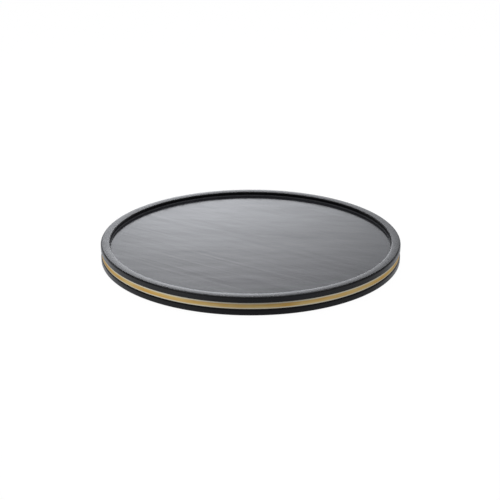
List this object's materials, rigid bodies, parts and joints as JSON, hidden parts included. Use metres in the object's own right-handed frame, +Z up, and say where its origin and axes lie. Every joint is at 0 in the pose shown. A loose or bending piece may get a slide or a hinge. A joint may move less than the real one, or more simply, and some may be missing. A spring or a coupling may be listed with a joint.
{
  "type": "round serving tray",
  "caption": "Round flat serving tray with a shallow well, black wooden base and rim, and a brass band let into its edge, on low anti-slip feet.",
  "frame": {"origin": "centre of the tray on the surface that it stands on", "axes": "+Z up along the tray's axis of symmetry; +Y points to the back, where the brass strip's two ends meet; +X to the right"},
  "size_m": [0.4, 0.4, 0.0265],
  "materials": {
    "black_wood": "black-stained wood under satin lacquer",
    "black_veneer": "black-stained wood veneer under smooth satin lacquer",
    "plywood": "sanded birch plywood",
    "plain_veneer": "unfinished veneer",
    "brushed_brass": "brushed along its length, lightly lacquered",
    "screw_steel": "plain stainless steel",
    "beech": "raw turned beech",
    "black_seal": "smooth satin sealant",
    "silicone": "matt moulded silicone"
  },
  "bodies": {
    "root": {"rim_ring": "black_wood", "joint_seal": "black_seal", "floor_veneer": "black_veneer", "floor_panel": "plywood", "balancing_veneer": "plain_veneer", "core_board": "plywood", "brass_band": "brushed_brass", "band_pins": "brushed_brass", "base_board": "black_wood", "assembly_screws": "screw_steel", "locating_dowels": "beech", "silicone_feet": "silicone", "foot_screws": "screw_steel"}
  },
  "joints": []
}
